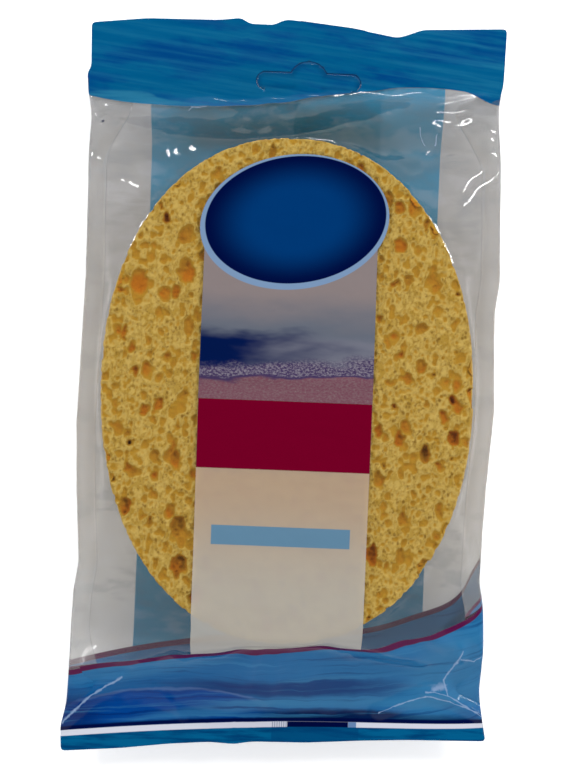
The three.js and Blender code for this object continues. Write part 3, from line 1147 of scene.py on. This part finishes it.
def frontHeights(y, weld, headStart, footStart, outside):
    # the front lies on the sponge, and falls to its own folds and to the welds
    form = bagForm
    topHeight = spongeHigh.z / mm + form["spongeGap"]
    pastEdge = np.clip(outside + form["edgeReach"], 0, None)
    edgeDrop = pastEdge**2 / (pastEdge + 2 * form["edgeReach"])
    headSlack = np.clip((headStart - y) / form["headSlack"], 0, 1)
    footSlack = np.clip((y - footStart) / form["footSlack"], 0, 1)
    slack = smoothStep(0, 1, np.minimum(headSlack, footSlack))
    front = weld + (topHeight - weld) * slack - edgeDrop * slack * form["edgeDrop"]
    return np.maximum(front, weld), topHeight


def backHeights(y, weld, headStart, footStart, outside, backCrease):
    # the back lies on the surface, and rises to its own folds and to the welds
    form = bagForm
    lowest = form["backHeight"]
    back = lowest + (backCrease - lowest) * smoothStep(0, form["backRun"], outside) * 0.5
    beforeHead = 1 - smoothStep(form["backLeavesHead"], headStart, y)
    pastFoot = smoothStep(footStart, form["backLeavesFoot"], y)
    liftAtEnds = 1 - np.minimum(beforeHead, pastFoot)
    return back + (weld - form["weldGap"] - back) * liftAtEnds


def layPanels(bag):
    form = bagForm
    count = len(bag.data.vertices)
    unit = np.empty(count * 3)
    bag.data.vertices.foreach_get("co", unit)
    a, b, c = unit.reshape(-1, 3).T
    x, y, footStart = flatPlaces(a, b)
    # how far the bag stands open at each place along it
    headStart = through(form["headWeld"], x)
    headOpen = 1 - smoothStep(form["headOpens"], headStart, y)
    footOpen = smoothStep(footStart, form["footOpens"], y)
    opened = np.minimum(headOpen, footOpen)
    x = x * (1 + form["backSpread"] * opened * (1 - c) / 2)
    weld = np.where(y > 0, form["headHeight"], form["footHeight"])
    frontCrease = weld + (form["frontCrease"] - weld) * opened
    backCrease = weld - form["weldGap"] + (form["backCrease"] - weld + form["weldGap"]) * opened
    outside = overSponge(x, y)
    sideShare = smoothStep(*form["sideFolds"], np.abs(a))
    front, topHeight = frontHeights(y, weld, headStart, footStart, outside)
    front = front + (frontCrease - front) * sideShare
    front = np.where(outside < -2, np.maximum(front, topHeight), front)
    back = backHeights(y, weld, headStart, footStart, outside, backCrease)
    back = back + (backCrease - back) * sideShare
    onSide = np.abs(a) > 0.999
    share = (c + 1) / 2
    z = back + (front - back) * share
    z = np.where(onSide, backCrease + (frontCrease - backCrease) * share, z)
    tuck = form["endTuck"] + (form["gussetTuck"] - form["endTuck"]) * opened
    tuck = tuck * (1 - np.abs(c)) * smoothStep(*form["tuckAtFoot"], y)
    tuck = tuck * (1 - smoothStep(*form["tuckAtHead"], y))
    x = np.where(onSide, x - np.sign(a) * tuck, x)
    placed = np.stack([x, y, z], axis=1)
    bag.data.vertices.foreach_set("co", (placed * mm).ravel())
    bag.data.update()
    # where each point lies on the flat film, and from -1 on the back to 1 on the front
    place = bag.data.attributes.new("filmPlace", "FLOAT_VECTOR", "POINT")
    place.data.foreach_set("vector", np.stack([x, y, c], axis=1).astype(np.float32).ravel())
    held = bag.vertex_groups.new(name="held")
    firm = (y > headStart) | (y < footStart) | (c < -0.99) | (np.abs(a) > 0.999) & (np.abs(c) > 0.99)
    held.add([int(i) for i in np.flatnonzero(firm)], 1.0, "REPLACE")


filmSettling = {
    "scale": 10,  # the cloth solver works best on larger pieces
    "frames": 40,
    "quality": 7,
    "growth": 0.009,
    "tension": 40.0,
    "bending": 6.0,
    "mass": 0.15,
    "stretchDamping": 10,
    "bendingDamping": 2,
    "airDamping": 2,
    "touch": 0.004,
    "friction": 5,
}


def settleFilm(bag, slab):
    factor = filmSettling["scale"]
    for piece in (bag, slab):
        makeActive(piece)
        piece.scale = (factor,) * 3
        bpy.ops.object.transform_apply(location=False, rotation=False, scale=True)
    slab.modifiers.new("touch", "COLLISION")
    slab.collision.thickness_outer = filmSettling["touch"]
    slab.collision.cloth_friction = filmSettling["friction"]
    cloth = bag.modifiers.new("settle", "CLOTH")
    settings = cloth.settings
    settings.quality = filmSettling["quality"]
    settings.mass = filmSettling["mass"]
    settings.tension_stiffness = filmSettling["tension"]
    settings.compression_stiffness = filmSettling["tension"]
    settings.shear_stiffness = filmSettling["tension"] / 2
    settings.bending_stiffness = filmSettling["bending"]
    settings.tension_damping = filmSettling["stretchDamping"]
    settings.compression_damping = filmSettling["stretchDamping"]
    settings.shear_damping = filmSettling["stretchDamping"]
    settings.bending_damping = filmSettling["bendingDamping"]
    settings.air_damping = filmSettling["airDamping"]
    settings.vertex_group_mass = "held"
    settings.shrink_min = -filmSettling["growth"]
    settings.shrink_max = -filmSettling["growth"]
    cloth.collision_settings.collision_quality = 3
    cloth.collision_settings.distance_min = filmSettling["touch"]
    cloth.collision_settings.use_self_collision = False
    cloth.point_cache.frame_start = 1
    cloth.point_cache.frame_end = filmSettling["frames"]
    scene = bpy.context.scene
    for step in range(1, filmSettling["frames"] + 1):
        scene.frame_set(step)
    makeActive(bag)
    bpy.ops.object.modifier_apply(modifier=cloth.name)
    bpy.data.objects.remove(slab)
    makeActive(bag)
    bag.scale = (1 / factor,) * 3
    bpy.ops.object.transform_apply(location=False, rotation=False, scale=True)


def distanceTo(path, x, y):
    # from each place to a line of straight runs
    nearest = np.full(len(x), 1e6)
    for (startX, startY), (endX, endY) in zip(path, path[1:]):
        runX, runY = endX - startX, endY - startY
        share = ((x - startX) * runX + (y - startY) * runY) / (runX**2 + runY**2)
        share = np.clip(share, 0, 1)
        nearest = np.minimum(nearest, np.hypot(x - startX - share * runX, y - startY - share * runY))
    return nearest


def numbersOf(bag, name):
    values = np.empty(len(bag.data.vertices) * 3, dtype=np.float32)
    source = bag.data.vertices if name == "co" else bag.data.attributes[name].data
    source.foreach_get("co" if name == "co" else "vector", values)
    return values.reshape(-1, 3)


def foldCreases(bag):
    places = numbersOf(bag, "co")
    x, y, side = numbersOf(bag, "filmPlace").T
    for crease in creases:
        share = np.clip(1 - distanceTo(crease["path"], x, y) / crease["width"], 0, 1)
        places[:, 2] += np.where(side > 0.98, share * crease["height"] * mm, 0)
    bag.data.vertices.foreach_set("co", places.ravel())
    bag.data.update()


slotForm = {
    "middle": 3.0,
    "reach": 13.25,  # from the middle to where the ends turn round
    "armBottom": 90.0,
    "armHeight": 5.5,
    "bumpRadius": 6.0,
    "bumpRise": 3.5,
    "cut": 0.06,
    "steps": 8,
    "flapRise": 0.06,  # the flap stands a little proud along its cut edge
    "flapShift": 0.045,  # and covers the cut
    "hinge": 3.0,  # how far the flap takes to come free of the header
    "top": 100.0,
}


def slotLine():
    # up round the left end, over the bump and down round the right end
    form = slotForm
    endRound = form["armHeight"] / 2
    armMiddle = form["armBottom"] + endRound
    armTop = form["armBottom"] + form["armHeight"]
    bumpMiddle = armTop + form["bumpRise"] - form["bumpRadius"]
    lift = math.acos((armTop - bumpMiddle) / form["bumpRadius"])
    line = []
    for i in range(form["steps"] + 1):
        turn = -math.pi / 2 - math.pi * i / form["steps"]
        line.append((-form["reach"] + endRound * math.cos(turn), armMiddle + endRound * math.sin(turn)))
    for i in range(form["steps"] + 1):
        turn = math.pi / 2 + lift - 2 * lift * i / form["steps"]
        line.append((form["bumpRadius"] * math.cos(turn), bumpMiddle + form["bumpRadius"] * math.sin(turn)))
    for i in range(form["steps"] + 1):
        turn = math.pi / 2 - math.pi * i / form["steps"]
        line.append((form["reach"] + endRound * math.cos(turn), armMiddle + endRound * math.sin(turn)))
    return [(x + form["middle"], y) for x, y in line]


def isInside(line, x, y):
    inside = np.zeros(len(x), dtype=bool)
    for (startX, startY), (endX, endY) in zip(line, line[1:] + line[:1]):
        if startY != endY:
            crossing = startX + (y - startY) * (endX - startX) / (endY - startY)
            inside ^= ((startY > y) != (endY > y)) & (x < crossing)
    return inside


def liftFlap(bag):
    form = slotForm
    places = numbersOf(bag, "co")
    x, y = places[:, 0] / mm - form["middle"], places[:, 1] / mm - form["armBottom"]
    onFlap = isInside(slotLine(), x + form["middle"], y + form["armBottom"])
    share = np.clip(y / form["hinge"], 0, 1) * onFlap
    reach = np.maximum(np.hypot(x, y), 1e-6)
    places[:, 0] += share * form["flapShift"] * mm * x / reach
    places[:, 1] += share * form["flapShift"] * mm * y / reach
    places[:, 2] += share * form["flapRise"] * mm
    bag.data.vertices.foreach_set("co", places.ravel())
    bag.data.update()


def cutSlot(bag):
    data = bpy.data.curves.new("slotLine", "CURVE")
    data.extrude = 3 * mm
    line = data.splines.new("POLY")
    spots = slotLine()
    line.points.add(len(spots) - 1)
    for point, (x, y) in zip(line.points, spots):
        point.co = (x * mm, y * mm, bagForm["headHeight"] * mm, 1)
    cutter = bpy.data.objects.new("slotCutter", data)
    bpy.context.scene.collection.objects.link(cutter)
    makeActive(cutter)
    bpy.ops.object.convert(target="MESH")
    cutter = bpy.context.object
    wall = cutter.modifiers.new("wall", "SOLIDIFY")
    wall.thickness = slotForm["cut"] * mm
    wall.offset = 0
    applyModifiers(cutter)
    cut = bag.modifiers.new("slot", "BOOLEAN")
    cut.operation = "DIFFERENCE"
    cut.solver = "EXACT"
    cut.object = cutter
    makeActive(bag)
    bpy.ops.object.modifier_apply(modifier=cut.name)
    bpy.data.objects.remove(cutter)
    # the film lies flat round the slot, so a place on it is simply where it lies
    places = numbersOf(bag, "co") / mm
    onFilm = numbersOf(bag, "filmPlace")
    sideways = np.abs(places[:, 0] - slotForm["middle"])
    nearSlot = places[:, 1] > slotForm["armBottom"] - 0.1
    nearSlot &= sideways < slotForm["reach"] + slotForm["armHeight"]
    onFilm[nearSlot, :2] = places[nearSlot, :2]
    isFront = places[nearSlot, 2] > bagForm["headHeight"] - bagForm["weldGap"] / 2
    onFilm[nearSlot, 2] = np.where(isFront, 1, -1)
    bag.data.attributes["filmPlace"].data.foreach_set("vector", onFilm.ravel())
    liftFlap(bag)


def makeSeam(bag):
    # the back film's two edges lap over each other in a long seam
    makeActive(bag)
    bpy.ops.object.duplicate()
    seam = bpy.context.object
    seam.name = "back_seam"
    places = numbersOf(seam, "filmPlace")
    left, right = printForm["seam"]
    for vertex in seam.data.vertices:
        vertex.select = False
    for face in seam.data.polygons:
        middle = places[list(face.vertices)].mean(axis=0)
        face.select = not (left < middle[0] < right and middle[2] < -0.98)
    bpy.ops.object.mode_set(mode="EDIT")
    bpy.ops.mesh.select_mode(type="FACE")
    bpy.ops.mesh.delete(type="FACE")
    bpy.ops.object.mode_set(mode="OBJECT")
    clear = seam.modifiers.new("clearOfTheBack", "DISPLACE")
    clear.strength = bagForm["seamThickness"] / 2 * mm
    clear.mid_level = 0
    lift = seam.modifiers.new("lap", "SOLIDIFY")
    lift.thickness = bagForm["seamThickness"] * mm
    lift.offset = 1.0
    applyModifiers(seam)
    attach(seam, "root")
    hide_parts("film_bag")
    print("seam:", len(seam.data.polygons), "faces")


def makeFilm():
    film = gridCube()
    film.name = "film_bag_shell"
    layPanels(film)
    settleFilm(film, spongeSlab())
    smooth = film.modifiers.new("finer", "SUBSURF")
    smooth.levels = smooth.render_levels = 1
    applyModifiers(film)
    foldCreases(film)
    cutSlot(film)
    printFilm(film)
    makeActive(film)
    bpy.ops.object.shade_smooth()
    for face in slotEdges(film):
        face.use_smooth = False
    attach(film, "root")
    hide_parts("film_bag")
    print("film:", len(film.data.polygons), "faces")
    makeSeam(film)


makeFilm()
